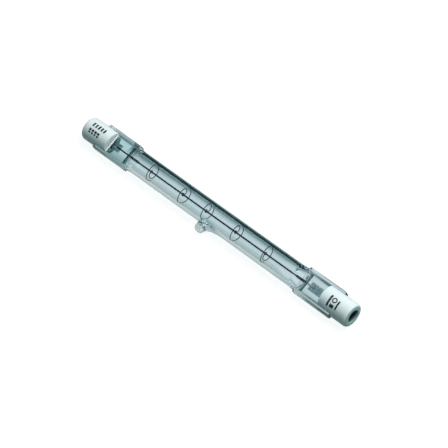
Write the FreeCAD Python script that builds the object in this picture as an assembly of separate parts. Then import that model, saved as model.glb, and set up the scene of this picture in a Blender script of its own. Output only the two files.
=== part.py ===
"""Linear double-ended halogen bulb, lying as it comes to rest.

A quartz tube is pinched flat at both ends and closed near its middle by a melted exhaust tip. A tungsten
coil runs along the axis, kept off the hot wall by wire spirals. At each end a wire leads the current to a
molybdenum foil sealed in the pinch, and a second wire leads it on to a contact button, which is recessed
in a ceramic cap that is cemented over the pinch.

Everything is drawn in millimetres in the bulb's own frame: +X runs along the axis to the right-hand end,
Y across the flat of the pinches with the exhaust tip towards -Y, and the origin is the light centre. At
the end each piece is rolled about X until the exhaust tip and the caps stand on one level surface.
"""

import FreeCAD
import Part
import math
import os

V = FreeCAD.Vector
ORIGIN = V(0, 0, 0)
AXIS_X = V(1, 0, 0)
AXIS_Y = V(0, 1, 0)
AXIS_Z = V(0, 0, 1)

# Whole bulb
overall_length = 117.6  # between the outer faces of the caps
clearance = 0.05  # round a piece that rests in another

# Quartz tube
tube_diameter = 8.2
tube_wall = 1.0

# Pinch seals
pinch_shown = 8.7  # flat between the tube and the cap
pinch_width = 9.7
pinch_web_thickness = 2.2  # of the flat between the two edge beads
pinch_bead_width = 1.45
pinch_bead_thickness = 3.0
pinch_bead_rounding = 0.6
pinch_corner_rounding = 0.7  # seen square on
shoulder_length = 3.6  # the round tube turns flat over this length
shoulder_easing = 0.2  # share of that length over which it bends, at each end
shoulder_overlap = 1.2  # the edge beads start this far up the shoulder
hollow_inset = 0.2  # the hollow's shoulder is this much shorter at each end
hollow_tail = 1.2  # the hollow runs on between the flats by this much
hollow_end_width = 6.8
hollow_end_height = 0.9
hollow_end_roundness = 0.45  # radius along its edges, as a share of its height

# Exhaust tip, sealed by melting
tip_station = -0.8  # where it grows out of the tube
tip_reach = 7.2  # from the bulb's axis to its end
tip_bead_diameter = 3.6
tip_lean = 14.0  # degrees towards the left end
tip_root_depth = 3.4  # its cone starts this far below the bead's centre
tip_root_flare = 0.7  # and is this much wider there, on the radius
tip_root_rounding = 1.9
tip_channel_diameter = 0.9  # what is left of the pumping hole
tip_trail_length = 9.0  # the glass is dragged out this far towards the right end
tip_trail_diameter = 3.2
tip_trail_height = 2.3  # above the tube's wall where it leaves the bead

# Filament coil
coil_diameter = 0.56
coil_bore = 0.30
coil_in_socket = 1.4

# Spiral supports on the coil
support_places = (-0.829, -0.412, -0.117, 0.256, 0.625)  # shares of the way out to the sockets
support_rolls = (200, 20, 340, 10, 190)  # degrees by which each one is turned on the coil
support_wire = 0.20
support_tight_turns = 1.75
support_pitch = 0.24
support_spread_turns = 0.45  # over which the wire winds out to the wall
support_ring_turns = 0.85
support_ring_pitch = 0.5
support_points = 10  # on the wire's centre line, for each turn
support_sides = 6  # flats round the wire

# Inner leads, each ending in a socket crimped on the coil
lead_wire = 0.5
socket_diameter = 0.86
socket_length = 3.4
lead_bare = 0.2  # between the socket and the flat of the pinch
lead_weld = 1.6  # length welded to the foil
lead_weld_flat = 0.06  # depth pressed flat against the foil

# Molybdenum foils
foil_width = 2.9
foil_thickness = 0.05
foil_feather = 0.4  # width of the etched knife edges
foil_cover = 1.2  # quartz beyond the foil's outer end
left_foil_setback = 4.9  # from the flat's start to the foil
right_foil_setback = 2.2

# Ceramic caps
cap_diameter = 8.2
cap_length = 11.3
cap_outer_rounding = 1.0
cap_rounding_steps = 3
cap_recess_diameter = 4.5
cap_recess_depth = 1.7
cap_recess_chamfer = 0.2

# Cement between pinch and cap
cement_gap = 0.15  # round the edge beads
cement_end_gap = 0.3  # beyond the pinch's end
cement_setback = 0.15  # below the cap's outside
cement_lip = 0.45  # stands out of the cap on the flat of the pinch
cement_plug = 1.9  # from the slot's end to the contact's shank

# Contact buttons
contact_diameter = 3.7
contact_head = 0.7  # up to its crown, which is level with the recess's floor
contact_dome = 0.14
contact_shank_diameter = 1.8
contact_shank_length = 1.6
contact_lead_depth = 0.9

# Sizes that follow from those above
half_length = overall_length / 2
tube_radius = tube_diameter / 2
bore_radius = tube_radius - tube_wall
cap_radius = cap_diameter / 2
cap_face = half_length - cap_length
flat_start = cap_face - pinch_shown
shoulder_start = flat_start - shoulder_length
beads_start = flat_start - shoulder_overlap
hollow_end = flat_start + hollow_tail
recess_floor = half_length - cap_recess_depth
contact_seat = recess_floor - contact_head
contact_tail = contact_seat - contact_shank_length
slot_end = contact_tail - cement_plug
slot_height = pinch_bead_thickness + 2 * cement_gap
pinch_end = slot_end - cement_end_gap
bead_centre = (pinch_width - pinch_bead_width) / 2
bead_gap = pinch_width - 2 * pinch_bead_width
socket_end = flat_start - lead_bare
socket_mouth = socket_end - socket_length
coil_end = socket_mouth + coil_in_socket
foil_end = pinch_end - foil_cover
weld_level = lead_weld_flat - lead_wire / 2
tip_bead_radius = tip_bead_diameter / 2
tip_bead_offset = tip_reach - tip_bead_radius
rest_radius = max(tube_radius, cap_radius)
lying_roll = math.degrees(math.asin((rest_radius - tip_bead_radius) / tip_bead_offset))
past = 1.0  # how far a cutting solid runs past the face that it opens
near = 1e-4  # a difference that counts as none


def rod(diameter, start, end):
    """A plain rod along the bulb's axis."""
    return Part.makeCylinder(diameter / 2, end - start, V(start, 0, 0), AXIS_X)


def bar(start, end, width, thickness, offset=0.0, level=0.0):
    """A bar along the axis, centred on the given offset in Y and level in Z."""
    corner = V(start, offset - width / 2, level - thickness / 2)
    return Part.makeBox(end - start, width, thickness, corner)


def follows(edge, direction, at=0.0):
    """Whether an edge runs along a direction."""
    return abs(edge.tangentAt(at).dot(direction)) > 1 - near


def edges_along(shape, direction):
    """The straight edges that run along a direction."""
    return [edge for edge in shape.Edges if follows(edge, direction)]


def oval(station, half_width, half_height):
    """One cross-section of a shoulder, starting on the +Y side."""
    side = V(station, half_width, 0)
    top = V(station, 0, half_height)
    if abs(half_width - half_height) < near:
        curve = Part.Circle(side, top, V(station, -half_width, 0))
    else:
        curve = Part.Ellipse(side, top, V(station, 0, 0))
    return Part.Wire(curve.toShape())


def flattening(start, end, radius, half_width, half_height):
    """A round section that closes to a flat oval down an even slope, eased at its start and its end."""
    bent = shoulder_easing / (1 - shoulder_easing) / 2
    sections = []
    for share, flat in ((0, 0), (shoulder_easing, bent), (1 - shoulder_easing, 1 - bent), (1, 1)):
        width = radius + (half_width - radius) * flat
        height = radius + (half_height - radius) * flat
        sections.append(oval(start + (end - start) * share, width, height))
    return Part.makeLoft(sections, True, True)


def turned(outline):
    """A solid turned about the axis from an outline of stations and radii."""
    points = [V(station, 0, radius) for station, radius in outline]
    return Part.Face(Part.makePolygon(points + points[:1])).revolve(ORIGIN, AXIS_X, 360)


def both_ends(shape):
    """A piece of the right-hand end, and the same again at the left."""
    return shape.fuse(shape.mirror(ORIGIN, AXIS_X))


def pinch():
    """The flat seal: a web with a rounded bead along each edge, as the pressing jaws leave it."""
    flat = bar(beads_start, pinch_end, pinch_width - pinch_bead_width, pinch_web_thickness)
    for offset in (-bead_centre, bead_centre):
        bead = bar(beads_start, pinch_end, pinch_bead_width, pinch_bead_thickness, offset)
        flat = flat.fuse(bead.makeFillet(pinch_bead_rounding, edges_along(bead, AXIS_X)))
    plan = bar(beads_start, pinch_end, pinch_width, pinch_bead_thickness)
    return flat.common(plan.makeFillet(pinch_corner_rounding, edges_along(plan, AXIS_Z)))


def leaned(shape):
    """A shape drawn along -Y from the axis, leaned and moved to where the exhaust tip grows."""
    shape.rotate(ORIGIN, AXIS_Z, -tip_lean)
    shape.translate(V(tip_station, 0, 0))
    return shape


def exhaust_stub():
    """The stub of pumping tube: a cone drawn out of the wall, melted to a bead at its end."""
    bead_at = tip_bead_offset / math.cos(math.radians(tip_lean))
    root_radius = tip_bead_radius + tip_root_flare
    root = V(0, tip_root_depth - bead_at, 0)
    cone = Part.makeCone(root_radius, tip_bead_radius, tip_root_depth, root, V(0, -1, 0))
    bead = Part.makeSphere(tip_bead_radius, V(0, -bead_at, 0), V(0, -1, 0))
    return leaned(cone.fuse(bead))


def exhaust_channel():
    """What is left of the pumping hole: a narrow blind bore that ends inside the bead."""
    bead_at = tip_bead_offset / math.cos(math.radians(tip_lean))
    return leaned(Part.makeCylinder(tip_channel_diameter / 2, bead_at, ORIGIN, V(0, -1, 0)))


def exhaust_trail():
    """The glass dragged out along the tube on one side of the bead, sinking into the wall."""
    radius = tip_trail_diameter / 2
    bead_station = tip_station - tip_bead_offset * math.tan(math.radians(tip_lean))
    start = V(bead_station, radius - tube_radius - tip_trail_height, 0)
    way = V(tip_trail_length, tip_trail_height, 0)
    return Part.makeCylinder(radius, way.Length, start, way)


def drawn_tube():
    """The tube with the exhaust tip growing out of it, blended at its root."""
    tube = rod(tube_diameter, -shoulder_start, shoulder_start).fuse(exhaust_stub())
    root = []
    for edge in tube.Edges:
        middle = (edge.FirstParameter + edge.LastParameter) / 2
        point = edge.valueAt(middle)
        on_wall = abs(math.hypot(point.y, point.z) - tube_radius) < near
        if not on_wall or abs(point.x) > shoulder_start - near:
            continue
        if not follows(edge, AXIS_X, middle):
            root.append(edge)
    return tube.makeFillet(tip_root_rounding, root).fuse(exhaust_trail())


def hollow():
    """The gas space: the tube's bore, flattened to a thin lens in each pinch."""
    start = shoulder_start + hollow_inset
    end = flat_start - hollow_inset
    half_width = hollow_end_width / 2
    half_height = hollow_end_height / 2
    tail = bar(end, hollow_end, hollow_end_width - hollow_end_height, hollow_end_height)
    tail = tail.makeFillet(hollow_end_roundness * hollow_end_height, edges_along(tail, AXIS_X))
    taper = flattening(start, end, bore_radius, half_width, half_height).fuse(tail)
    return rod(2 * bore_radius, -start, start).fuse(both_ends(taper)).fuse(exhaust_channel())


def envelope():
    """All the quartz in one piece."""
    flat_width = pinch_width - pinch_bead_rounding
    end = flattening(shoulder_start, flat_start, tube_radius, flat_width / 2, pinch_web_thickness / 2)
    return drawn_tube().fuse(both_ends(end)).fuse(both_ends(pinch())).cut(hollow())


def foil(setback):
    """A strip with knife edges, which the quartz can seal against."""
    side = foil_width / 2
    half = foil_thickness / 2
    outline = [(-side, 0), (foil_feather - side, half), (side - foil_feather, half)]
    outline += [(-y, -z) for y, z in outline]
    start = flat_start + setback
    points = [V(start, y, z + weld_level - half) for y, z in outline]
    wire = Part.makePolygon(points + points[:1])
    return Part.Face(wire).extrude(V(foil_end - start, 0, 0))


def flattened(wire, start, end):
    """A lead with its weld pressed flat against the foil."""
    depth = lead_wire / 2 + weld_level
    return wire.cut(bar(start, end, lead_wire, depth, level=weld_level - depth / 2))


def inner_lead(setback):
    """From the foil through the quartz to the socket that holds the filament's end."""
    weld_start = flat_start + setback
    wire = rod(lead_wire, socket_mouth + coil_in_socket, weld_start + lead_weld)
    wire = flattened(wire, weld_start, weld_start + lead_weld)
    socket = rod(socket_diameter, socket_mouth, socket_end)
    return wire.fuse(socket).cut(rod(coil_diameter, socket_mouth, coil_end))


def outer_lead():
    """From the foil's outer end to the hole in the contact's shank."""
    wire = rod(lead_wire, foil_end - lead_weld, contact_tail + contact_lead_depth)
    return flattened(wire, foil_end - lead_weld, foil_end)


def contact():
    """A rivet: domed head under the recess, shank through the ceramic, a hole for the lead."""
    head_radius = contact_diameter / 2
    ball = (head_radius**2 + contact_dome**2) / (2 * contact_dome)
    dome = Part.makeSphere(ball, V(recess_floor - ball, 0, 0))
    head = rod(contact_diameter, contact_seat, recess_floor).common(dome)
    shank = rod(contact_shank_diameter, contact_tail, contact_seat)
    hole = rod(lead_wire, contact_tail, contact_tail + contact_lead_depth)
    return head.fuse(shank).cut(hole)


def slot(width, start):
    """The room for the pinch across a cap."""
    return bar(start, slot_end, width, slot_height)


def shank_hole(start):
    """The hole for the contact's shank."""
    return rod(contact_shank_diameter + 2 * clearance, start, contact_seat)


def end_cap():
    """Ceramic, pressed with a slot through its inner half and a stepped recess in its outer end."""
    outline = [(cap_face, 0), (cap_face, cap_radius)]
    for step in range(cap_rounding_steps + 1):
        turn = step / cap_rounding_steps * math.pi / 2
        station = half_length - cap_outer_rounding * (1 - math.sin(turn))
        outline.append((station, cap_radius - cap_outer_rounding * (1 - math.cos(turn))))
    recess_radius = cap_recess_diameter / 2
    outline.append((half_length, recess_radius + cap_recess_chamfer))
    outline.append((half_length - cap_recess_chamfer, recess_radius))
    outline.append((recess_floor, recess_radius))
    outline.append((recess_floor, 0))
    body = turned(outline).cut(slot(cap_diameter + 2 * past, cap_face - past))
    seat = rod(contact_diameter + 2 * clearance, contact_seat, recess_floor)
    return body.cut(seat).cut(shank_hole(slot_end))


def cement():
    """What fills the cap's slot round the pinch, with a lip at its mouth and a plug at the shank."""
    inside = rod(cap_diameter - 2 * cement_setback, cap_face, slot_end)
    fill = slot(cap_diameter, cap_face).common(inside)
    lip = bar(cap_face - cement_lip, cap_face, bead_gap, slot_height)
    rims = [edge for edge in edges_along(lip, AXIS_Y) if edge.CenterOfMass.x < cap_face - near]
    lip = lip.makeFillet(cement_lip / 2, rims)
    plug = rod(contact_shank_diameter + 2 * clearance, slot_end, contact_tail)
    return fill.fuse(lip).fuse(plug).cut(pinch()).cut(outer_lead())


def filament():
    """The tungsten coil, as the sleeve that its turns fill."""
    return rod(coil_diameter, -coil_end, coil_end).cut(rod(coil_bore, -coil_end, coil_end))


def support_point(turns, tight, ring):
    """A point on a support's centre line, so many turns from its start on the coil."""
    spread = min(max((turns - support_tight_turns) / support_spread_turns, 0), 1)
    radius = tight + (ring - tight) * spread**2 * (3 - 2 * spread)
    on_coil = min(turns, support_tight_turns)
    station = support_pitch * on_coil + support_ring_pitch * (turns - on_coil)
    angle = 2 * math.pi * turns
    return V(station, radius * math.cos(angle), radius * math.sin(angle))


def wire_section(start, towards):
    """The wire's outline, square to the first stretch of its centre line."""
    along = (towards - start).normalize()
    across = along.cross(AXIS_X).normalize() * (support_wire / 2)
    points = []
    for side in range(support_sides):
        turn = FreeCAD.Rotation(along, 360 * side / support_sides)
        points.append(start + turn.multVec(across))
    return Part.makePolygon(points + points[:1])


def support(place, roll):
    """A wire wound tightly on the coil, then out in a spiral to a ring that steadies it in the tube."""
    tight = (coil_diameter + support_wire + clearance) / 2
    ring = bore_radius - support_wire / 2 - clearance
    turns = support_tight_turns + support_spread_turns + support_ring_turns
    count = round(turns * support_points)
    line = [support_point(turns * i / count, tight, ring) for i in range(count + 1)]
    mitred = 1
    wire = Part.makePolygon(line).makePipeShell([wire_section(*line[:2])], True, False, mitred)
    wire.rotate(ORIGIN, AXIS_X, roll)
    wire.translate(V(place * socket_mouth - support_pitch * support_tight_turns / 2, 0, 0))
    return wire


def end_pieces(setback):
    """The pieces of one end, drawn at the right-hand end."""
    return {
        "end_cap": end_cap(),
        "cement": cement(),
        "contact": contact(),
        "foil": foil(setback),
        "inner_lead": inner_lead(setback),
        "outer_lead": outer_lead(),
    }


def bulb():
    """Every piece under its name, still unrolled."""
    pieces = {"filament": filament()}
    for number, placed in enumerate(zip(support_places, support_rolls), 1):
        pieces[f"filament_support_{number}"] = support(*placed)
    for name, shape in end_pieces(right_foil_setback).items():
        pieces[f"right_{name}"] = shape
    for name, shape in end_pieces(left_foil_setback).items():
        pieces[f"left_{name}"] = shape.mirror(ORIGIN, AXIS_X)
    quartz = envelope()
    for name, shape in pieces.items():
        if name.endswith(("foil", "lead")):
            quartz = quartz.cut(shape)
    pieces["quartz_envelope"] = quartz
    return pieces


def main():
    """Lay each piece down with the rest and write it."""
    os.makedirs("parts", exist_ok=True)
    for name, shape in bulb().items():
        shape.rotate(ORIGIN, AXIS_X, lying_roll)
        shape.exportStep(f"parts/{name}.step")
        print(f"{name}: {len(shape.Solids)} solid, valid {shape.isValid()}, {shape.Volume:.3f} mm3")


if __name__ == "__main__":
    main()
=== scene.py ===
# %% [markdown]
# # A linear halogen bulb
#
# The real bulb is a tube of clear quartz, about as thick as a pencil. Both ends are pressed flat while
# they are soft, a stub of the pumping tube is melted shut near the middle, and a white ceramic cap is
# cemented over each flat end. A straight coil of tungsten runs through it on five wire spirals.
#
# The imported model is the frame: it gives every size and place. This lesson dresses that frame with finer
# meshes and with finishes made of nodes, and sets it in a small studio.

# %% Load the frame
import math

import bpy
import numpy as np
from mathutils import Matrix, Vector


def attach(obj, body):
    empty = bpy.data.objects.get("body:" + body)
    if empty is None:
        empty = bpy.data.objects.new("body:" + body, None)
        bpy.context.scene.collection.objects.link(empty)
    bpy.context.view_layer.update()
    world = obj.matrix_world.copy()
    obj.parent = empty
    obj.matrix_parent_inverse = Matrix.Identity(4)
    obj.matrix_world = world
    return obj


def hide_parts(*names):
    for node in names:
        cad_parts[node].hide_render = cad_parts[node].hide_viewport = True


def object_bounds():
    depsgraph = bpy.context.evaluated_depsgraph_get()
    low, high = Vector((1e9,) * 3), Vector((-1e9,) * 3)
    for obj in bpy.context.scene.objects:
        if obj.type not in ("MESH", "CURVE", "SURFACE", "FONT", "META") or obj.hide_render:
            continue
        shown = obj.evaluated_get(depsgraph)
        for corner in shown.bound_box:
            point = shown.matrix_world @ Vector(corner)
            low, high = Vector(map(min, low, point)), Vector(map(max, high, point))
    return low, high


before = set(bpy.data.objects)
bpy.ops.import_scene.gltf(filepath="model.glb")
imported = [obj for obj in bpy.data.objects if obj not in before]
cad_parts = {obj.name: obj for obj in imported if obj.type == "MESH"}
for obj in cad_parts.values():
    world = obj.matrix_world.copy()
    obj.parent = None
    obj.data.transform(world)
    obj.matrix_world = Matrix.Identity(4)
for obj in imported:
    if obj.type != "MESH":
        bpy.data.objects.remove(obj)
cad_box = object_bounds()
print("nodes:", len(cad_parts), "box:", [tuple(round(c, 4) for c in corner) for corner in cad_box])

# %% [markdown]
# Sizes are easier to read in millimetres, as a lamp drawing gives them, so each piece is worked out in
# millimetres and scaled once, when its mesh is made. The bulb is also drawn unrolled, with the flat of
# its ends level and the exhaust tip towards -Y, and it is laid down by one turn about its axis.

# %% Sizes and the lying position
MM = 0.001
half_length = 58.8
tube_radius = 4.1
bore_radius = 3.1
# a hair less than the tube's, so that the caps stay inside the frame's box
cap_radius = 4.099
cap_face = 47.5
flat_start = 38.8
shoulder_start = 35.2
hollow_end = 40.0
pinch_end = 52.6
tip_bead_radius = 1.8
tip_bead_offset = 5.4
roll = math.asin((tube_radius - tip_bead_radius) / tip_bead_offset)
print("the bulb lies rolled by", round(math.degrees(roll), 3), "degrees")


def laid_down(points):
    """Unrolled millimetres to metres as the bulb lies."""
    x, y, z = np.asarray(points, float).T
    turned = (x, y * math.cos(roll) - z * math.sin(roll), y * math.sin(roll) + z * math.cos(roll))
    return np.stack(turned, 1) * MM


# %% [markdown]
# ## The camera
#
# The camera comes first, because every later look depends on it. It stands well back with a long lens,
# as a catalogue photographer would, looks down at the bulb from its right-hand end, and is moved a few
# millimetres sideways, because the bulb isn't quite in the middle of the picture.

# %% Camera
scene = bpy.context.scene
picture_size = 448
azimuth = math.radians(44.24)
elevation = math.radians(47.4)
# metres from the bulb, and millimetres to the right and down
camera_distance = 0.64
camera_right = 2.64
camera_down = 1.93
back = np.array(
    (
        math.sin(azimuth) * math.cos(elevation),
        -math.cos(azimuth) * math.cos(elevation),
        math.sin(elevation),
    )
)
right = np.array((math.cos(azimuth), math.sin(azimuth), 0.0))
up = np.cross(back, right)
camera_data = bpy.data.cameras.new("camera")
camera_data.lens = 161.07
camera_data.sensor_width = 36.0
camera_data.clip_start = 0.01
camera = bpy.data.objects.new("camera", camera_data)
scene.collection.objects.link(camera)
camera.location = back * camera_distance + right * camera_right * MM - up * camera_down * MM
camera.rotation_euler = (math.pi / 2 - elevation, 0.0, azimuth)
scene.camera = camera


def pixel(point):
    """Where a point in metres falls in the square picture."""
    away = np.asarray(point) - np.array(camera.location)
    scale = picture_size * camera_data.lens / camera_data.sensor_width / -np.dot(away, back)
    middle = picture_size / 2
    return middle + np.dot(away, right) * scale, middle - np.dot(away, up) * scale


for name, x in (("left face", -half_length), ("middle", 0), ("right face", half_length)):
    print(name, [round(c, 1) for c in pixel((x * MM, 0, 0))])

# %% [markdown]
# ## Nodes written as sums
#
# A material is a small program. Drawing it node by node hides what it does, so one class wraps a socket
# and gives it the usual operators: `wave * 0.5 + 0.5` adds two Math nodes. Anything else, such as a noise
# or a shader, comes from one method that takes a node's type, its settings and its inputs.


# %% Values and wires
class Value:
    """A socket that takes part in sums."""

    def __init__(self, wires, socket):
        self.wires = wires
        self.socket = socket

    def __getitem__(self, name):
        return Value(self.wires, self.socket.node.outputs[name])

    def maths(self, operation, *others):
        return self.wires.node("ShaderNodeMath", {"operation": operation}, [self, *others])

    def swapped(self, operation, first):
        return self.wires.node("ShaderNodeMath", {"operation": operation}, [first, self])

    def held(self, low, high):
        """The value, kept between two limits."""
        return self.maths("MAXIMUM", low).maths("MINIMUM", high)

    def __add__(self, other):
        return self.maths("ADD", other)

    def __sub__(self, other):
        return self.maths("SUBTRACT", other)

    def __rsub__(self, other):
        return self.swapped("SUBTRACT", other)

    def __mul__(self, other):
        return self.maths("MULTIPLY", other)

    def __rmul__(self, other):
        return self.swapped("MULTIPLY", other)

    def __truediv__(self, other):
        return self.maths("DIVIDE", other)

    def __gt__(self, other):
        return self.maths("GREATER_THAN", other)

    def __lt__(self, other):
        return self.maths("LESS_THAN", other)

    def __abs__(self):
        return self.maths("ABSOLUTE")


class Wires:
    """One node tree, and methods that add nodes to it."""

    def __init__(self, tree):
        self.tree = tree

    def node(self, kind, settings=None, inputs=()):
        made = self.tree.nodes.new(kind)
        for name, setting in (settings or {}).items():
            if name == "stops":
                self.colour_stops(made.color_ramp, setting)
            else:
                setattr(made, name, setting)
        pairs = inputs.items() if isinstance(inputs, dict) else enumerate(inputs)
        for name, value in pairs:
            if isinstance(value, Value):
                self.tree.links.new(value.socket, made.inputs[name])
            elif value is not None:
                made.inputs[name].default_value = value
        shown = [socket for socket in made.outputs if socket.enabled]
        return Value(self, shown[0]) if shown else None

    def colour_stops(self, ramp, stops):
        while len(ramp.elements) < len(stops):
            ramp.elements.new(0.5)
        for element, (place, shade) in zip(ramp.elements, stops):
            element.position = place
            element.color = (*shade, 1.0)

    def colours(self, factor, first, second):
        """A mix of two colours."""
        pair = [(*c, 1.0) if isinstance(c, tuple) else c for c in (first, second)]
        return self.node("ShaderNodeMix", {"data_type": "RGBA"}, {0: factor, 6: pair[0], 7: pair[1]})

    def rise(self, value, start, end):
        """0 before one place and 1 after another, both in millimetres."""
        limits = {"Value": value, "From Min": start * MM, "From Max": end * MM}
        return self.node("ShaderNodeMapRange", None, limits)


def methods(kind):
    """The names of the methods that a class adds."""
    return [name for name, what in vars(kind).items() if callable(what)]


print("a value has", methods(Value))
print("a tree has", methods(Wires))

# %% [markdown]
# ## The studio
#
# The photographs in a lamp catalogue have a pure white ground. Here that white is what the camera, and
# whatever is seen in or through the glass, finds on the floor and in the sky, while the light that falls
# on the bulb stays at a plain level. The floor is still lit, so it keeps the bulb's soft shadow.


# %% Floor
def stage_material(name):
    """A material for the studio, and the wires of its empty tree."""
    material = bpy.data.materials.new(name)
    material.use_nodes = True
    material.node_tree.nodes.clear()
    return material, Wires(material.node_tree)


def on_stage(name, corners, faces, material):
    """A plain mesh that belongs to the studio and not to the bulb."""
    mesh = bpy.data.meshes.new(name)
    mesh.from_pydata(corners, [], faces)
    mesh.materials.append(material)
    thing = bpy.data.objects.new(name, mesh)
    scene.collection.objects.link(thing)
    return thing


def studio_floor():
    """A level floor under the lowest point of the bulb, white only where it is seen."""
    material, wires = stage_material("studio_floor")
    ray = wires.node("ShaderNodeLightPath")
    seen = ray["Is Camera Ray"].maths("MAXIMUM", ray["Is Glossy Ray"])
    seen = seen.maths("MAXIMUM", ray["Is Transmission Ray"])
    lit = wires.node("ShaderNodeBsdfDiffuse", None, {"Color": (0.16, 0.11, 0.11, 1.0)})
    glow = wires.node("ShaderNodeEmission", None, {"Color": (0.89, 0.93, 0.93, 1.0), "Strength": 1.0})
    shown = wires.node("ShaderNodeAddShader", None, [lit, glow])
    bounce = wires.node("ShaderNodeBsdfDiffuse", None, {"Color": (0.05, 0.11, 0.11, 1.0)})
    mixed = wires.node("ShaderNodeMixShader", None, [seen, bounce, shown])
    wires.node("ShaderNodeOutputMaterial", None, [mixed])
    far, level = 3.0, cad_box[0].z
    corners = [(-far, -far, level), (far, -far, level), (far, far, level), (-far, far, level)]
    on_stage("floor", corners, [(0, 1, 2, 3)], material)
    print("floor at", round(level / MM, 3), "mm")


studio_floor()

# %% [markdown]
# The sky is white where the camera or the glass looks at it. In the gloss it is dimmer, because a white
# sky would lie as a veil over the dark wires inside, and where it only lights the bulb it is a quiet
# green-blue, which gives the undersides of the caps the tint that they have in the photo.


# %% Sky
def sky():
    world = bpy.data.worlds.new("sky")
    world.use_nodes = True
    world.node_tree.nodes.clear()
    wires = Wires(world.node_tree)
    ray = wires.node("ShaderNodeLightPath")
    shades = (((0.4, 0.97, 0.98), 0.155), ((0.1, 0.28, 0.3), 1.0), ((1.0, 1.0, 1.0), 1.0))
    light, gloss, white = (
        wires.node("ShaderNodeBackground", None, {"Color": (*colour, 1.0), "Strength": strength})
        for colour, strength in shades
    )
    seen = ray["Is Camera Ray"].maths("MAXIMUM", ray["Is Transmission Ray"])
    unseen = wires.node("ShaderNodeMixShader", None, [ray["Is Glossy Ray"], light, gloss])
    mixed = wires.node("ShaderNodeMixShader", None, [seen, unseen, white])
    wires.node("ShaderNodeOutputWorld", None, [mixed])
    scene.world = world
    print("the sky has", len(world.node_tree.nodes), "nodes")


sky()
scene.view_settings.view_transform = "Standard"

# %% [markdown]
# Clear glass shows its shape by what it bends into view. In the photo the far edge of the tube is nearly
# black, with grey bands inside it, and the near edge is pale. A photographer gets this with dark and pale
# cards beside the lamp. Here a sheet of graded paper lies just over the floor, from a little in front of
# the bulb to well behind it, and a black board closes it at the back. They show only through the glass
# and in the gloss: they are hidden from the camera, throw no shadow and light nothing that is matt.

# %% Graded sheet
sheet_near = -6.0
sheet_dark = 17.0
sheet_far = 90.0
sheet_left, sheet_right = -85.0, 75.0
board_left, board_right = -150.0, 75.0
board_height = 28.0
sheet_lift = 0.2
# places across the sheet, in millimetres from the axis, and the colour of the paper there
sheet_tones = (
    (-5.8, (0.85, 0.88, 0.84)),
    (-4.0, (0.72, 0.75, 0.7)),
    (-2.4, (0.54, 0.56, 0.54)),
    (-1.2, (0.56, 0.62, 0.59)),
    (0.1, (0.68, 0.73, 0.73)),
    (0.9, (0.88, 0.93, 0.93)),
    (2.4, (0.98, 1.0, 1.0)),
    (4.0, (1.0, 1.0, 1.0)),
    (5.2, (0.8, 0.86, 0.86)),
    (6.3, (0.58, 0.67, 0.67)),
    (7.4, (0.31, 0.39, 0.385)),
    (9.2, (0.1, 0.17, 0.165)),
    (13.0, (0.17, 0.27, 0.26)),
    (16.5, (0.006, 0.02, 0.02)),
)


def sheet_shift(x, y):
    """How far the tones are moved: the dark part lies nearer at the left and further off at the right."""
    left_flat, middle_line = -44.5, 3.0
    # it comes nearer from 17 mm left of the middle, up to the left-hand flat, where it draws back
    nearer = (x * -0.07 - 1.2 * MM).maths("MAXIMUM", 0.0)
    nearer = nearer * (x > left_flat * MM) - (x < left_flat * MM) * (1.2 * MM)
    # it moves off from 26 mm right of the middle
    further = (x * 0.25 - 6.5 * MM).held(0.0, 1.3 * MM)
    return (nearer - further) * (y > middle_line * MM) + further * (y < middle_line * MM)


def graded_sheet():
    material, wires = stage_material("graded_sheet")
    place = wires.node("ShaderNodeTexCoord")["Object"]
    split = wires.node("ShaderNodeSeparateXYZ", None, [place])
    x, y = split["X"], split["Y"]
    share = wires.rise(y + sheet_shift(x, y), sheet_near, sheet_dark)
    span = sheet_dark - sheet_near
    stops = [((station - sheet_near) / span, tone) for station, tone in sheet_tones]
    tones = wires.node("ShaderNodeValToRGB", {"stops": stops}, [share])
    shown = wires.node("ShaderNodeEmission", None, {"Color": tones, "Strength": 1.0})
    wires.node("ShaderNodeOutputMaterial", None, [shown])
    level = cad_box[0].z + sheet_lift * MM
    top = level + board_height * MM
    corners = []
    for near, far, left_end, right_end in (
        (sheet_near, sheet_dark, sheet_left, sheet_right),
        (sheet_dark, sheet_far, board_left, board_right),
    ):
        outline = ((left_end, near), (right_end, near), (right_end, far), (left_end, far))
        corners += [(x * MM, y * MM, level) for x, y in outline]
    corners += [(board_right * MM, sheet_far * MM, top), (board_left * MM, sheet_far * MM, top)]
    sheet = on_stage("graded_sheet", corners, [(0, 1, 2, 3), (4, 5, 6, 7), (7, 6, 8, 9)], material)
    sheet.visible_camera = False
    sheet.visible_diffuse = False
    sheet.visible_shadow = False
    print("sheet from", sheet_near, "to", sheet_far, "mm behind the axis")


graded_sheet()

# %% [markdown]
# One broad soft lamp hangs above and a little behind the bulb, which leaves the undersides of the caps in
# a quiet shade. A weaker one beyond the right-hand end lights the end face. Neither shows in the gloss,
# because the photo has no white streak along the tube.


# %% Lamps
def soft_lamp(name, place, size, watts, tint):
    """A square soft box that points at the bulb and isn't mirrored in it."""
    data = bpy.data.lights.new(name, "AREA")
    data.shape = "SQUARE"
    data.size = size
    data.energy = watts
    data.color = tint
    lamp = bpy.data.objects.new(name, data)
    lamp.visible_glossy = False
    lamp.location = place
    aim = np.array(place) / -np.linalg.norm(place)
    lamp.rotation_euler = (math.acos(-aim[2]), 0.0, math.atan2(-aim[0], aim[1]))
    scene.collection.objects.link(lamp)
    print(name, "of", watts, "W at", place)


soft_lamp("top_softbox", place=(0.12, 0.18, 0.6), size=0.42, watts=4.1, tint=(1.0, 1.0, 1.0))
soft_lamp("end_softbox", place=(0.55, 0.16, 0.3), size=0.35, watts=0.6, tint=(0.9, 1.0, 1.0))

# %% [markdown]
# ## Finishes
#
# Every finish reads Object coordinates, which are metres along the bulb and across it, so a speck or a
# scratch has its real size. Numbers that are the same all over a surface sit on the shader itself.


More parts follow.
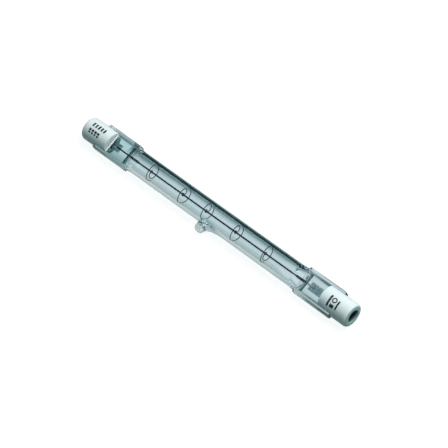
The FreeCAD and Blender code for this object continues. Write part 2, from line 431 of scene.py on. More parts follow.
# %% A start for every finish
class Finish(Wires):
    """A material with one Principled shader, and the maker's tools for it."""

    def __init__(self, name, constants):
        self.material = bpy.data.materials.new(name)
        self.material.use_nodes = True
        super().__init__(self.material.node_tree)
        self.tree.nodes.clear()
        self.shader = self.node("ShaderNodeBsdfPrincipled", None, constants)
        self.output = self.tree.nodes.new("ShaderNodeOutputMaterial")
        self.tree.links.new(self.shader.socket, self.output.inputs["Surface"])
        self.place = self.node("ShaderNodeTexCoord")["Object"]
        split = self.node("ShaderNodeSeparateXYZ", None, [self.place])
        self.x, self.y, self.z = split["X"], split["Y"], split["Z"]

    def across(self):
        """How far a point lies across the flat of the ends, towards the far edge."""
        return self.y * math.cos(roll) + self.z * math.sin(roll)

    def up(self):
        """How far a point lies above the middle of the flat of the ends."""
        return self.z * math.cos(roll) - self.y * math.sin(roll)

    def from_axis(self):
        return (self.y * self.y + self.z * self.z).maths("SQRT")

    def noise(self, size, detail, stretch=(1.0, 1.0, 1.0)):
        """Noise from 0 to 1 with features of about this many millimetres."""
        place = self.node("ShaderNodeVectorMath", {"operation": "MULTIPLY"}, [self.place, stretch])
        scale = 1.0 / (size * MM)
        return self.node("ShaderNodeTexNoise", None, {"Vector": place, "Scale": scale, "Detail": detail})

    def feed(self, name, value):
        self.tree.links.new(value.socket, self.shader.socket.node.inputs[name])

    def bumps(self, height, depth):
        """Raise the surface by up to this many millimetres."""
        bump = self.node("ShaderNodeBump", None, {"Height": height, "Distance": depth * MM, "Strength": 1.0})
        self.feed("Normal", bump)

    def done(self):
        print("finish", self.material.name, "has", len(self.tree.nodes), "nodes")
        return self.material


print("a finish adds", methods(Finish))

# %% [markdown]
# Quartz glass is clear, but it is drawn from a melt, so it has faint lines along it and a skin that isn't
# perfectly even. Its body swallows some red, so the long ways through the edges come out green-blue: that
# is a Volume Absorption node whose colour and density are plain numbers. Each skin has a weak tint of its
# own. A ray through the tube crosses four skins and one through the flat of an end only two, so the tint
# of the ends is the stronger one.
#
# Over that, the pressed ends carry painted light and painted shade in place of the lines and tones that
# the bent light of their rounded glass shows. The left end is painted darker than the right. The edge of
# each bead and its foot on the web are painted dark lines. The beads between them are painted grey at the
# left, with a pale outer corner, and pale at the right. The blunt end of the hollow is a painted dark
# line across the flat. Ramps along and across the flat draw these.

# %% Quartz
tube_tints = ((0.79, 0.85, 0.87), (0.83, 0.885, 0.9))
# the left end is darker than the right: partly the stronger tint that both ends have, partly painted shade
left_end_tint_and_shade = (0.56, 0.72, 0.725)
right_end_tint = (0.68, 0.75, 0.765)
# painted shade greys the far bead at the left end, and painted light makes its outer corner pale
left_far_bead_painted_shade = (0.56, 0.62, 0.62)
left_far_corner_painted_light = (0.97, 0.97, 0.97)
# painted light: the beads at the right-hand end are pale
right_bead_painted_light = (0.93, 0.94, 0.945)
# painted shade: dark lines along the edges of the beads and their feet on the web
painted_line_shade = (0.1, 0.16, 0.16)
# painted shade: a dark line across the flat at the blunt end of the hollow
mouth_painted_shade = (0.1, 0.17, 0.175)
tip_tint = (0.92, 0.91, 0.905)
glass_body = {"Color": (0.075, 0.46, 0.575, 1.0), "Density": 115.0}
# where a tint or a painted line, shade or light sets in, in millimetres along the bulb, across the flat or
# out from the axis
end_band = (37.5, 39.2)
corner_band = (49.0, 51.0)
right_line_band = (39.0, 44.0)
far_bead_band = (3.6, 3.8)
right_bead_band = (3.65, 3.8)
far_edge, near_edge, edge_width = 4.4, 4.1, 0.2
foot_start, foot_finish = (3.05, 3.2), (3.7, 3.55)
mouth_start, mouth_finish, mouth_height = (38.9, 39.2), (40.2, 40.1), (0.6, 0.55)
tip_band, tip_reach = (4.15, 4.6), 12.0


def end_tints_and_painted_light(finish, tint):
    """The tints and the painted light and shade of the pressed ends, laid over the tint of the tube."""
    along, across, rise = finish.x, finish.across(), finish.rise
    leftwards = along * -1.0
    left_end = rise(leftwards, *end_band)
    right_end = rise(along, *end_band)
    # the left end's tint is partly painted shade
    tint = finish.colours(left_end, tint, left_end_tint_and_shade)
    tint = finish.colours(right_end, tint, right_end_tint)
    # painted shade greys the left-hand bead on the far side, and painted light makes its outer corner as
    # pale as the ground
    far_bead = rise(across, *far_bead_band) * left_end
    tint = finish.colours(far_bead, tint, left_far_bead_painted_shade)
    tint = finish.colours(rise(leftwards, *corner_band) * far_bead, tint, left_far_corner_painted_light)
    # painted light makes the right-hand beads pale, and the painted dark lines of the edges and feet darken
    # on the way out at the right
    right_lines = rise(along, *right_line_band)
    for side, edge_start in ((across, far_edge), (across * -1.0, near_edge)):
        tint = finish.colours(rise(side, *right_bead_band) * right_end, tint, right_bead_painted_light)
        edge = rise(side, edge_start, edge_start + edge_width) * (left_end * 0.5 + right_lines)
        foot = rise(side, *foot_start) * rise(side, *foot_finish)
        foot = foot * (left_end * 0.2 + right_lines * 0.85)
        tint = finish.colours(edge.maths("MAXIMUM", foot), tint, painted_line_shade)
    # painted shade: a dark line across the flat where the hollow ends
    mouth = rise(abs(along), *mouth_start) * rise(abs(along), *mouth_finish)
    return finish.colours(mouth * rise(abs(finish.up()), *mouth_height), tint, mouth_painted_shade)


def quartz_finish():
    finish = Finish("quartz", {"Transmission Weight": 1.0, "IOR": 1.458})
    drawn = finish.noise(0.6, 2.0, (0.04, 1.0, 1.0))
    tint = end_tints_and_painted_light(finish, finish.colours(drawn, *tube_tints))
    # the thick glass of the tip would look too blue beside the thin wall
    on_tip = finish.rise(finish.from_axis(), *tip_band) * (abs(finish.x) < tip_reach * MM)
    finish.feed("Base Color", finish.colours(on_tip, tint, tip_tint))
    body = finish.node("ShaderNodeVolumeAbsorption", None, glass_body)
    finish.tree.links.new(body.socket, finish.output.inputs["Volume"])
    finish.feed("Roughness", drawn * 0.015)
    finish.bumps(drawn, 0.0005)
    return finish.done()


quartz = quartz_finish()

# %% [markdown]
# A maker prints on the caps. That print is left out: in its place are plain bars, small blocks and one
# ring, in the same dark ink. Each shape is worked out from a point's distance along the cap and round it,
# and its edge is a little soft, as ink on rough clay is.

# %% Ink
ink_sharpness = 9.0
mark_step = 1.25
# the middle and size of each bar and block, in millimetres along and round the cap
ink_bars = [((-55.6 + number * mark_step, 0.5), (0.7, 1.6)) for number in range(5)]
for number in range(4):
    ink_bars.append(((-55.6 + number * mark_step, 2.6), (0.95, 0.8)))
    ink_bars.append(((-55.5 + number * mark_step, 3.5), (0.75, 0.65)))
ink_bars += [((50.9, 2.6), (0.7, 4.0)), ((52.5, 3.8), (1.5, 1.2)), ((54.1, 2.6), (0.6, 3.2))]
ink_ring = {"middle": (52.5, 1.7), "radius": 0.7, "width": 0.4}
print("marks:", len(ink_bars), "bars and blocks, and a ring")


def inked_bar(along, round_it, middle, size):
    end = size[0] * 0.5 - abs(along - middle[0])
    side = size[1] * 0.5 - abs(round_it - middle[1])
    return (end.maths("MINIMUM", side) * ink_sharpness + 0.5).held(0.0, 1.0)


def inked_ring(along, round_it, middle, radius, width):
    x = along - middle[0]
    s = round_it - middle[1]
    out = (x * x + s * s).maths("SQRT")
    return ((width * 0.5 - abs(out - radius)) * ink_sharpness + 0.5).held(0.0, 1.0)


def marks(finish):
    """Rows of bars and blocks on the left cap, and one group on the right."""
    along = finish.x * 1000.0
    # the angle from the top of the cap towards its near side, as a length round the cap
    round_it = (finish.y * -1.0).maths("ARCTAN2", finish.z) * cap_radius
    ink = inked_ring(along, round_it, **ink_ring)
    for middle, size in ink_bars:
        ink = ink.maths("MAXIMUM", inked_bar(along, round_it, middle, size))
    # only the outside of a cap is printed
    return ink * (finish.from_axis() > 4.0 * MM)


# %% [markdown]
# Steatite is a dense white ceramic. It is pressed dry and fired without a glaze, so it has a fine grain
# and a satin sheen, and handling leaves it a little greyer in places. Painted shade makes its end faces
# darker and greener. It also draws a dark line where the slot meets the cement and darkens the recess
# inside, more so further in.


# %% Ceramic and cement
def ceramic_finish():
    finish = Finish("ceramic", {"Roughness": 0.4})
    grain = finish.noise(0.12, 3.0)
    cloud = finish.noise(3.0, 2.0)
    clay = finish.colours(cloud, (0.82, 0.86, 0.87), (0.9, 0.925, 0.93))
    # painted shade: the outer end faces are darker and greener
    painted_face_shade = finish.rise(abs(finish.x), half_length - 0.35, half_length - 0.05)
    clay = finish.colours(painted_face_shade * 0.9, clay, (0.3, 0.47, 0.465))
    # painted shadow of the gap: a thin dark line on the inner face, above and below the slot
    height = abs(finish.up())
    slot_gap_painted_shadow = (height > 1.6 * MM) * (height < 1.95 * MM) * (abs(finish.x) < (cap_face + 0.06) * MM)
    clay = finish.colours(slot_gap_painted_shadow, clay, (0.1, 0.16, 0.165))
    worn = (finish.noise(0.35, 2.0) * 5.0 - 0.9).held(0.0, 1.0)
    printed = finish.colours(marks(finish) * worn, clay, (0.003, 0.014, 0.017))
    # painted shade in the recess, paler at the rim and darker further in
    depth = half_length * MM - abs(finish.x)
    recess_painted_shade = finish.colours(finish.rise(depth, 0.2, 1.1), (0.36, 0.5, 0.5), (0.012, 0.028, 0.032))
    recess = (finish.from_axis() < 2.4 * MM) * (depth > 0.1 * MM) * (depth < 2.6 * MM)
    finish.feed("Base Color", finish.colours(recess, printed, recess_painted_shade))
    finish.feed("Roughness", cloud * 0.15 + grain * 0.15 + 0.3)
    finish.bumps(grain, 0.012)
    return finish.done()


def cement_finish():
    finish = Finish("cement", {"Roughness": 0.8})
    grain = finish.noise(0.2, 4.0)
    finish.feed("Base Color", finish.colours(grain, (0.78, 0.8, 0.79), (0.93, 0.94, 0.93)))
    finish.bumps(grain, 0.05)
    return finish.done()


ceramic = ceramic_finish()
cement = cement_finish()

# %% [markdown]
# The foils and contacts are bare metal with a mottled surface; the contacts' metal is painted dark, as shade
# for the recess that holds them. The wires are different: heat leaves a black skin on tungsten, which has
# hardly any gloss. At the right-hand end only, the lead is paler where it is sealed in the quartz. This is
# partly the bare metal that the seal keeps and partly painted light, since the left-hand lead is left dark.


# %% Metals
def metal_finish(name, dark, light, rough, size, stretch=(1.0, 1.0, 1.0)):
    """A metal whose colour and gloss vary a little."""
    finish = Finish(name, {"Metallic": 1.0})
    mottle = finish.noise(size, 3.0, stretch)
    finish.feed("Base Color", finish.colours(mottle, dark, light))
    finish.feed("Roughness", mottle * 0.2 + (rough - 0.1))
    finish.bumps(mottle, 0.005)
    return finish.done()


def wire_finish(name, dark, light, sealed_and_lit=None):
    """Drawn wire with a black skin, and where given a paler colour beyond the right-hand end of the hollow,
    partly bare metal and partly painted light.
    """
    finish = Finish(name, {"Specular IOR Level": 0.04, "Specular Tint": (0.5, 0.9, 1.0, 1.0)})
    mottle = finish.noise(0.1, 2.0)
    shade = finish.colours(mottle, dark, light)
    if sealed_and_lit:
        shade = finish.colours(finish.x > hollow_end * MM, shade, sealed_and_lit)
    finish.feed("Base Color", shade)
    finish.feed("Roughness", mottle * 0.2 + 0.4)
    finish.bumps(mottle, 0.004)
    return finish.done()


# the contacts' nickel is painted dark, as shade for the recess that holds them
nickel = metal_finish("nickel", (0.01, 0.024, 0.027), (0.14, 0.2, 0.2), rough=0.3, size=0.7)
molybdenum = metal_finish(
    "molybdenum", (0.07, 0.12, 0.125), (0.48, 0.61, 0.63), rough=0.35, size=0.6, stretch=(0.6, 1, 1)
)
tungsten = wire_finish("tungsten", (0.002, 0.008, 0.01), (0.012, 0.024, 0.028))
# paler beyond the right-hand end of the hollow only: partly bare sealed metal, partly painted light
socket_metal = wire_finish(
    "socket_metal", (0.003, 0.01, 0.012), (0.018, 0.032, 0.036), sealed_and_lit=(0.4, 0.5, 0.51)
)

# %% [markdown]
# ## The quartz envelope
#
# The glass is a skin outside and a skin round the gas, and light bends at both, so both have to be smooth.
# Each skin is a stack of cross-sections. A section is found from its law, a circle that flattens to an
# oval and then to a web with two beads, and is then divided into equal steps, so that the stack makes an
# even net.

# %% Cross-sections
pinch_half_width = 4.85
oval_half_width = 4.55
web_half = 1.1
bead_start, bead_full, web_full = 37.1, 37.9, 38.4
bead_half = 1.5
bead_rounding = 0.6
bead_middle = 4.125
bead_flat_half = 0.125
bead_foot = 3.1
flank_end = 0.35
corner_rounding = 0.7
edge_rounding = 0.3
shoulder_easing = 0.2
hollow_inset = 0.2
hollow_half_width = 3.4
hollow_half_height = 0.45
outline_points = 1500
# steps round a section of the outside and of the gas space
outer_steps, gas_steps = 144, 112
# the skin is a hair smaller than the solid, so that it stays inside the frame's box
skin_share = 0.998
thinnest = 0.02


def smooth_step(x, start, end):
    t = np.clip((x - start) / (end - start), 0.0, 1.0)
    return t * t * (3 - 2 * t)


def eased(share, easing):
    """An even slope from 0 to 1 that bends over this share of its length at each end."""
    share = min(max(share, 0.0), 1.0)
    if share > 0.5:
        return 1 - eased(1 - share, easing)
    if share < easing:
        return share**2 / (2 * easing * (1 - easing))
    return (share - easing / 2) / (1 - easing)


def flattened(station, inset, radius, half_width, half_height):
    """Half the width and half the height of a shoulder at a station."""
    start, end = shoulder_start + inset, flat_start - inset
    flat = eased((station - start) / (end - start), shoulder_easing)
    return radius + (half_width - radius) * flat, radius + (half_height - radius) * flat


def even_net(y, z, count):
    """A whole section in equal steps, from a quarter of its outline that starts at the +Y edge."""
    y = np.concatenate(([y[0]], y))
    z = np.concatenate(([0.0], z))
    walked = np.concatenate(([0.0], np.cumsum(np.hypot(np.diff(y), np.diff(z)))))
    share = np.linspace(0, 1, count // 4 + 1) * walked[-1]
    quarter_y = np.interp(share, walked, y)
    quarter_z = np.interp(share, walked, z)
    top_y = np.concatenate((quarter_y, -quarter_y[-2::-1]))
    top_z = np.concatenate((quarter_z, quarter_z[-2::-1]))
    return np.concatenate((top_y, top_y[-2:0:-1])), np.concatenate((top_z, -top_z[-2:0:-1]))


def rounded_off(rounding, past):
    """How far a rounded edge has drawn back at this distance past its start."""
    return rounding - math.sqrt(max(rounding**2 - max(past, 0.0) ** 2, 0.0))


def outer_section(station, count):
    """The outside of the quartz at a distance from the middle."""
    x = abs(station)
    width, height = flattened(x, 0.0, tube_radius, oval_half_width, web_half)
    bead = smooth_step(x, bead_start, bead_full)
    half_width = width + (pinch_half_width - width) * bead
    half_width -= rounded_off(corner_rounding, x - (pinch_end - corner_rounding))
    y = half_width * np.cos(np.linspace(0, math.pi / 2, outline_points))
    oval = height * np.sqrt(np.clip(1 - (y / max(width, half_width)) ** 2, 0, 1))
    web = web_half * smooth_step(x, bead_start, web_full) * np.ones_like(y)
    outside = np.clip(np.abs(y - bead_middle) - bead_flat_half, 0, bead_rounding)
    rounded = bead_half - bead_rounding + np.sqrt(bead_rounding**2 - outside**2)
    inner_flank = smooth_step(y, bead_foot, bead_middle - flank_end)
    raised = web_half + (rounded - web_half) * inner_flank
    raised = np.where(y > bead_middle, rounded, raised) * bead
    z = np.maximum(np.maximum(oval, np.minimum(web, raised + 1)), raised)
    z = z - rounded_off(edge_rounding, x - (pinch_end - edge_rounding))
    return even_net(y * skin_share, np.maximum(z, thinnest) * skin_share, count)


def inner_section(station, count):
    """The outside of the gas space."""
    width, height = flattened(
        abs(station), hollow_inset, bore_radius, hollow_half_width, hollow_half_height
    )
    turn = np.linspace(0, math.pi / 2, outline_points)
    return even_net(width * np.cos(turn), height * np.sin(turn), count)


for x in (0.0, shoulder_start, bead_full, cap_face):
    y, z = outer_section(x, outer_steps)
    print("at", x, "mm the quartz is", round(np.ptp(y), 2), "by", round(np.ptp(z), 2), "mm")

# %% [markdown]
# The exhaust tip grows out of the tube where the bulb was pumped empty. The same net makes it: every point
# near the tip is moved, by its distance from the tip's foot, first onto a flank that leaves the tube
# smoothly and then onto the melted bead. The gas space gets a thin funnel that ends inside the bead.

# %% Stations along the bulb, and the drawn-out tip
tip_station = -0.8
tip_lean = math.radians(14.0)
tip_zone = (-9.0, 12.0)
tip_step = 0.18
tube_step = 1.2
shoulder_sections = 26
flat_sections = 12
# on the left the tip's zone ends sooner, and these fill the space that leaves
left_fill = [-10.2, -11.1]


def stations(end):
    """Where the net has sections: close together at the tip, over the shoulders and at the end."""
    half = list(np.arange(tip_zone[1], shoulder_start, tube_step))
    half += list(np.linspace(shoulder_start, flat_start, shoulder_sections))
    half += list(np.linspace(flat_start, end - corner_rounding, flat_sections)[1:])
    half += [end - corner_rounding * (1 - math.sin(math.radians(turn))) for turn in range(10, 91, 10)]
    near_tip = list(np.arange(*tip_zone, tip_step))
    return np.array(sorted(set(np.round([-x for x in half] + left_fill + near_tip + half, 4))))


def drawn_out(points, radius, foot, bead_share, bead_at, bead_radius, handles):
    """Move the net near the tip's foot out onto the tip."""
    x, y, z = points.T
    reach_left, reach_right, reach_side = foot
    foot_station = tip_station - radius * math.tan(tip_lean)
    across = radius * np.arctan2(z, -y)
    along = x - foot_station
    away = np.hypot(along, across)
    cos, sin = along / np.maximum(away, 1e-9), across / np.maximum(away, 1e-9)
    reach = reach_side + np.where(cos > 0, reach_right - reach_side, reach_left - reach_side) * cos**2
    inside = (away < reach) & (y < 0)
    out = np.array((-math.sin(tip_lean), -math.cos(tip_lean), 0.0))
    side = np.array((math.cos(tip_lean), -math.sin(tip_lean), 0.0))
    middle = np.array((tip_station, 0.0, 0.0)) + out * bead_at
    ring = cos[:, None] * side + sin[:, None] * np.array((0.0, 0.0, 1.0))
    angle = np.clip(away / bead_share, 0, 1) * math.pi / 2
    bead = middle + bead_radius * (np.sin(angle)[:, None] * ring + np.cos(angle)[:, None] * out)
    edge = middle + bead_radius * ring
    foot_turn = reach * sin / radius
    foot_at = np.stack(
        (foot_station + reach * cos, -radius * np.cos(foot_turn), radius * np.sin(foot_turn)), 1
    )
    outwards = np.stack((cos, sin * np.sin(foot_turn), sin * np.cos(foot_turn)), 1)
    t = np.clip((away - bead_share) / np.maximum(reach - bead_share, 1e-9), 0, 1)[:, None]
    first = edge - out * handles[0]
    second = foot_at - outwards * (handles[1] * (reach - bead_radius))[:, None]
    flank = (
        (1 - t) ** 3 * edge + 3 * (1 - t) ** 2 * t * first + 3 * (1 - t) * t**2 * second + t**3 * foot_at
    )
    moved = np.where((away < bead_share)[:, None], bead, flank)
    return np.where(inside[:, None], moved, points)


print("the outer skin has", len(stations(pinch_end)), "sections, the gas space", len(stations(hollow_end)))

# %% [markdown]
# The two nets become one mesh. The outer one faces outwards. The inner one faces into the gas, so that
# the space between the two is solid quartz.


# %% Net to mesh
def skin(section, places, count, inwards):
    """Points and faces of one closed skin."""
    rings = []
    for station in places:
        y, z = section(station, count)
        rings.append(np.stack((np.full(len(y), station), y, z), 1))
    points = np.concatenate(rings)
    faces = []
    for ring in range(len(places) - 1):
        for k in range(count):
            a, b = ring * count + k, ring * count + (k + 1) % count
            faces.append((a, b, b + count, a + count))
    for ring, flip in ((0, True), (len(places) - 1, False)):
        base = ring * count
        for k in range(count // 2):
            low_a, low_b = (count - k) % count, (count - k - 1) % count
            corners = [base + k, base + k + 1, base + low_b, base + low_a]
            corners = list(dict.fromkeys(corners))
            faces.append(tuple(corners[::-1] if flip else corners))
    if inwards:
        faces = [face[::-1] for face in faces]
    return points, faces


def finished(name, mesh, material, slot, *nodes):
    """Put a mesh in the scene with its material, and hide the frame's nodes that it takes the place of."""
    piece = bpy.data.objects.new(name, mesh)
    scene.collection.objects.link(piece)
    if not mesh.materials:
        mesh.materials.append(material)
    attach(piece, "root")
    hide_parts(*nodes)
    mesh.calc_loop_triangles()
    print(name, "has", len(mesh.loop_triangles), "triangles")


def envelope():
    outside, outer_faces = skin(outer_section, stations(pinch_end), outer_steps, False)
    outside = drawn_out(
        outside, tube_radius, foot=(3.7, 8.5, 3.3),
        bead_share=1.7, bead_at=5.558, bead_radius=tip_bead_radius, handles=(0.9, 0.62),
    )
    gas, inner_faces = skin(inner_section, stations(hollow_end), gas_steps, True)
    gas = drawn_out(
        gas, bore_radius, foot=(1.6, 1.9, 1.5),
        bead_share=0.45, bead_at=5.4, bead_radius=0.26, handles=(1.5, 0.75),
    )
    faces = outer_faces + [tuple(k + len(outside) for k in face) for face in inner_faces]
    mesh = bpy.data.meshes.new("quartz_tube")
    mesh.from_pydata(laid_down(np.concatenate((outside, gas))).tolist(), [], faces)
    mesh.validate()
    mesh.shade_smooth()
    finished("quartz_tube", mesh, quartz, "quartz", "quartz_envelope")


envelope()

# %% [markdown]
# ## The coil and its spirals
#
# The filament is a wire wound several hundred times round a mandrel. Geometry Nodes has a Spiral curve for
# that, and Curve to Mesh gives it its thickness.


# %% A tree for Geometry Nodes
class Maker(Wires):
    """A Geometry Nodes tree with named inputs, run once on an empty mesh."""

    def __init__(self, name, sizes):
        tree = bpy.data.node_groups.new(name, "GeometryNodeTree")
        super().__init__(tree)
        tree.interface.new_socket("Geometry", in_out="OUTPUT", socket_type="NodeSocketGeometry")
        self.sockets = {}
        for label, size in sizes.items():
            socket = tree.interface.new_socket(label, in_out="INPUT", socket_type="NodeSocketFloat")
            socket.default_value = size
            self.sockets[label] = socket.identifier
        self.inputs = tree.nodes.new("NodeGroupInput")

    def size(self, label):
        return Value(self, self.inputs.outputs[label])

    def end(self, shape, material):
        """Make the shape smooth and real, and give it its material."""
        smooth = self.node("GeometryNodeSetShadeSmooth", None, {0: shape})
        real = self.node("GeometryNodeRealizeInstances", None, {0: smooth})
        coated = self.node("GeometryNodeSetMaterial", None, {"Geometry": real, "Material": material})
        out = self.tree.nodes.new("NodeGroupOutput")
        self.tree.links.new(coated.socket, out.inputs[0])

    def made(self, name, **sizes):
        """A plain mesh from the tree."""
        holder = bpy.data.objects.new(name, bpy.data.meshes.new(name + "_start"))
        scene.collection.objects.link(holder)
        modifier = holder.modifiers.new("maker", "NODES")
        modifier.node_group = self.tree
        for label, size in sizes.items():
            modifier[self.sockets[label]] = size
        ready = holder.evaluated_get(bpy.context.evaluated_depsgraph_get())
        mesh = bpy.data.meshes.new_from_object(ready)
        holder.modifiers.clear()
        bpy.data.objects.remove(holder)
        mesh.name = name
        return mesh


def wire_along(maker, path, thickness, sides):
    """A round wire along a path, with closed ends."""
    round_section = {"Resolution": sides, "Radius": thickness * 0.5}
    profile = maker.node("GeometryNodeCurvePrimitiveCircle", {"mode": "RADIUS"}, round_section)
    swept = {"Curve": path, "Profile Curve": profile, "Fill Caps": True}
    return maker.node("GeometryNodeCurveToMesh", None, swept)


def in_metres(maker, shape, shift=0.0):
    """Scale a shape in millimetres to metres and move it along the bulb."""
    moved = maker.node("ShaderNodeCombineXYZ", None, {"X": shift})
    place = {"Geometry": shape, "Translation": moved, "Scale": (MM, MM, MM)}
    return maker.node("GeometryNodeTransform", None, place)


print("a maker adds", methods(Maker))

# %% [markdown]
# The coil is one Spiral of constant radius. It is made upright, so one Transform lays it along the bulb
# and a second brings it to metres and to the middle.

# %% Coil
coil_sizes = {"turns": 460.0, "length": 73.2, "radius": 0.218, "wire": 0.16}
coil_points_per_turn = 14
coil_wire_sides = 6


def coil_maker():
    maker = Maker("wound_coil", coil_sizes)
    spiral = maker.node(
        "GeometryNodeCurveSpiral", None,
        {
            "Resolution": coil_points_per_turn,
            "Rotations": maker.size("turns"),
            "Start Radius": maker.size("radius"),
            "End Radius": maker.size("radius"),
            "Height": maker.size("length"),
        },
    )
    wire = wire_along(maker, spiral, maker.size("wire"), coil_wire_sides)
    lying = {"Geometry": wire, "Rotation": (0.0, math.pi / 2, 0.0)}
    level = maker.node("GeometryNodeTransform", None, lying)
    maker.end(in_metres(maker, level, maker.size("length") * (-0.5 * MM)), tungsten)
    return maker


coil = coil_maker().made("filament_coil")
finished("filament_coil", coil, tungsten, "tungsten", "filament")

# %% [markdown]
# Each support starts as a tight winding on the coil and swings out to a ring that just clears the wall.
# One tree draws it: the share of the way along the wire gives the number of turns so far, and the turns
# give the radius, the angle and the place along the bulb.

# %% Supports
support_sizes = {
    "tight radius": 0.44,
    "ring radius": 2.93,
    "tight turns": 1.75,
    "spread turns": 0.45,
    "ring turns": 0.85,
    "pitch": 0.24,
    "ring pitch": 0.5,
    "wire": 0.28,
    "place": 0.0,
    "turned": 0.0,
}
support_points = 150
support_wire_sides = 12


def support_maker():
    maker = Maker("wound_support", support_sizes)
    size = maker.size
    line = maker.node("GeometryNodeCurvePrimitiveLine")
    path = maker.node("GeometryNodeResampleCurve", None, {"Curve": line, "Count": support_points})
    share = maker.node("GeometryNodeSplineParameter")["Factor"]
    turns = share * (size("tight turns") + size("spread turns") + size("ring turns"))
    spread = ((turns - size("tight turns")) / size("spread turns")).held(0.0, 1.0)
    smooth = spread * spread * (3 - 2 * spread)
    radius = size("tight radius") + (size("ring radius") - size("tight radius")) * smooth
    on_coil = turns.maths("MINIMUM", size("tight turns"))
    station = size("pitch") * on_coil + size("ring pitch") * (turns - on_coil)
    station = station - size("pitch") * size("tight turns") * 0.5 + size("place")
    angle = turns * math.tau + size("turned")
    spot = maker.node(
        "ShaderNodeCombineXYZ", None,
        {"X": station, "Y": radius * angle.maths("COSINE"), "Z": radius * angle.maths("SINE")},
    )
    wound = maker.node("GeometryNodeSetPosition", None, {"Geometry": path, "Position": spot})
    wire = wire_along(maker, wound, size("wire"), support_wire_sides)
    maker.end(in_metres(maker, wire), tungsten)
    return maker


supports = support_maker()
# the places are shares of the way from the middle to the sockets that hold the coil
socket_mouth = 35.2
support_places = (-0.829, -0.412, -0.117, 0.256, 0.625)
support_turns = (200, 20, 340, 10, 190)
for number, (place, degrees) in enumerate(zip(support_places, support_turns), 1):
    name = f"support_spiral_{number}"
    mesh = supports.made(name, place=place * socket_mouth, turned=math.radians(degrees) + roll)
    finished(name, mesh, tungsten, "tungsten", f"filament_support_{number}")

# %% [markdown]
# ## Caps and contacts
#
# A cap is round, with a recess in its outer face and a slot for the flat of the quartz in its inner half.
# The frame's cap has the right form but flat facets, which show on a satin white surface. So its outline is
# turned about the axis in many steps, a Boolean cuts the slot, and a small Bevel breaks the sharp edges,
# because those of pressed clay never stay sharp. The contact is a riveted button with a slight dome, turned
# from its own outline. Both are drawn for the right-hand end and mirrored for the left.

# %% Turned shapes
cap_rounding = 1.0
mouth_rounding = 0.15
recess_radius = 2.25
recess_chamfer = 0.2
recess_floor = 57.1
contact_radius = 1.85
contact_dome = 0.14
seat_level = 56.4
shank_radius = 0.9
shank_end = 54.8
fit = 0.05
slot_end = 52.9
slot_half_height = 1.65
edge_bevel = 0.09
bevelled_from = math.radians(50)
shaded_sharp_from = math.radians(40)
cap_steps, contact_steps = 160, 96


def arc(middle, radius, start, end, steps):
    """Points of a rounded corner in an outline of stations and radii."""
    turns = np.radians(np.linspace(start, end, steps + 1))
    return [(middle[0] + radius * math.cos(turn), middle[1] + radius * math.sin(turn)) for turn in turns]


def turned(name, outline, count):
    """A closed outline, turned about the axis in this many steps, in unrolled millimetres."""
    mesh = bpy.data.meshes.new(name)
    points, faces = [], []
    for x, radius in outline:
        for k in range(count):
            turn = math.tau * k / count
            points.append((x, radius * math.cos(turn), radius * math.sin(turn)))
    rows = len(outline)
    for row in range(rows):
        for k in range(count):
            a, b = row * count, (row + 1) % rows * count
            after = (k + 1) % count
            faces.append((a + k, a + after, b + after, b + k))
    mesh.from_pydata(points, [], faces)
    return mesh


def cap_outline():
    bottom = shank_radius + fit
    outline = [(cap_face, bottom)]
    outline += arc((cap_face + mouth_rounding, cap_radius - mouth_rounding), mouth_rounding, 180, 90, 5)
    outline += arc((half_length - cap_rounding, cap_radius - cap_rounding), cap_rounding, 90, 0, 14)
    lip = (half_length - recess_chamfer, recess_radius + recess_chamfer)
    outline += arc(lip, recess_chamfer, 0, -90, 5)
    outline += [(recess_floor, recess_radius), (recess_floor, contact_radius + fit)]
    outline += [(seat_level, contact_radius + fit), (seat_level, bottom)]
    return outline


def contact_outline():
    """The outline of a button with a dimple, a shank and a blind hole for the outer lead."""
    hole_radius, hole_depth = 0.25, 0.9
    dimple_radius, dimple_depth, dimple_bottom, core = 0.3, 0.12, 0.18, 0.02
    ball = (contact_radius**2 + contact_dome**2) / (2 * contact_dome)
    reach = math.degrees(math.asin(contact_radius / ball))
    outline = [(shank_end, hole_radius), (shank_end, shank_radius), (seat_level, shank_radius)]
    outline += [(seat_level, contact_radius)]
    outline += arc((recess_floor - ball, 0.0), ball, reach, 1.0, 10)
    outline += [(recess_floor - dimple_depth, dimple_radius), (recess_floor - dimple_bottom, core)]
    outline += [(shank_end + hole_depth, core), (shank_end + hole_depth, hole_radius)]
    return outline


print("outlines of", len(cap_outline()), "and", len(contact_outline()), "points")


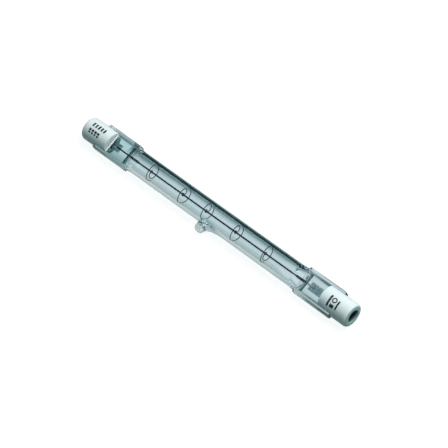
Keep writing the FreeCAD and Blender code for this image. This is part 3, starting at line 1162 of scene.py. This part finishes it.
# %% Slot and mirror image
def slotted(mesh):
    """Cut the slot for the flat of the quartz through the inner half of a cap."""
    body = bpy.data.objects.new("cap_blank", mesh)
    scene.collection.objects.link(body)
    block = bpy.data.meshes.new("slot_block")
    low, high = cap_face - 1.0, slot_end
    wide, tall = cap_radius + 1.0, slot_half_height
    corners = [(x, y, z) for x in (low, high) for y in (-wide, wide) for z in (-tall, tall)]
    block.from_pydata(
        corners, [], [(0, 1, 3, 2), (4, 6, 7, 5), (0, 4, 5, 1), (2, 3, 7, 6), (0, 2, 6, 4), (1, 5, 7, 3)]
    )
    cutter = bpy.data.objects.new("slot_block", block)
    scene.collection.objects.link(cutter)
    cut = body.modifiers.new("slot", "BOOLEAN")
    cut.operation = "DIFFERENCE"
    cut.solver = "EXACT"
    cut.object = cutter
    soft = body.modifiers.new("soft_edges", "BEVEL")
    soft.width = edge_bevel
    soft.segments = 2
    soft.limit_method = "ANGLE"
    soft.angle_limit = bevelled_from
    ready = body.evaluated_get(bpy.context.evaluated_depsgraph_get())
    made = bpy.data.meshes.new_from_object(ready)
    bpy.data.objects.remove(body)
    bpy.data.objects.remove(cutter)
    return made


def end_piece(name, mesh, mirrored, material, slot, node):
    """Lay down a piece drawn at the right-hand end, or its mirror image at the left."""
    points = np.array([corner.co for corner in mesh.vertices])
    faces = [list(face.vertices) for face in mesh.polygons]
    if mirrored:
        points[:, 0] *= -1
        faces = [face[::-1] for face in faces]
    made = bpy.data.meshes.new(name)
    made.from_pydata(laid_down(points).tolist(), [], faces)
    made.shade_smooth()
    made.set_sharp_from_angle(angle=shaded_sharp_from)
    finished(name, made, material, slot, node)


cap_mesh = slotted(turned("cap", cap_outline(), cap_steps))
contact_mesh = turned("contact", contact_outline(), contact_steps)
for side, mirrored in (("left", True), ("right", False)):
    end_piece(f"{side}_ceramic_cap", cap_mesh, mirrored, ceramic, "ceramic", f"{side}_end_cap")
    end_piece(f"{side}_contact_button", contact_mesh, mirrored, nickel, "contact_metal", f"{side}_contact")

# %% [markdown]
# ## Pieces that keep the frame's shape
#
# The cement, the foils and the leads are already right in the frame, so they only get their finishes.

# %% Finishes for the frame's own nodes
finish_of = {
    "cement": cement,
    "foil": molybdenum,
    "inner_lead": socket_metal,
    "outer_lead": molybdenum,
}
for side in ("left", "right"):
    for kind, material in finish_of.items():
        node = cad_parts[f"{side}_{kind}"]
        node.data.materials.clear()
        node.data.materials.append(material)
        print(node.name, "is finished in", material.name)

# %% [markdown]
# ## The frame's box
#
# The dressed bulb is meant to stay inside the frame's box, which is printed when the frame is loaded.
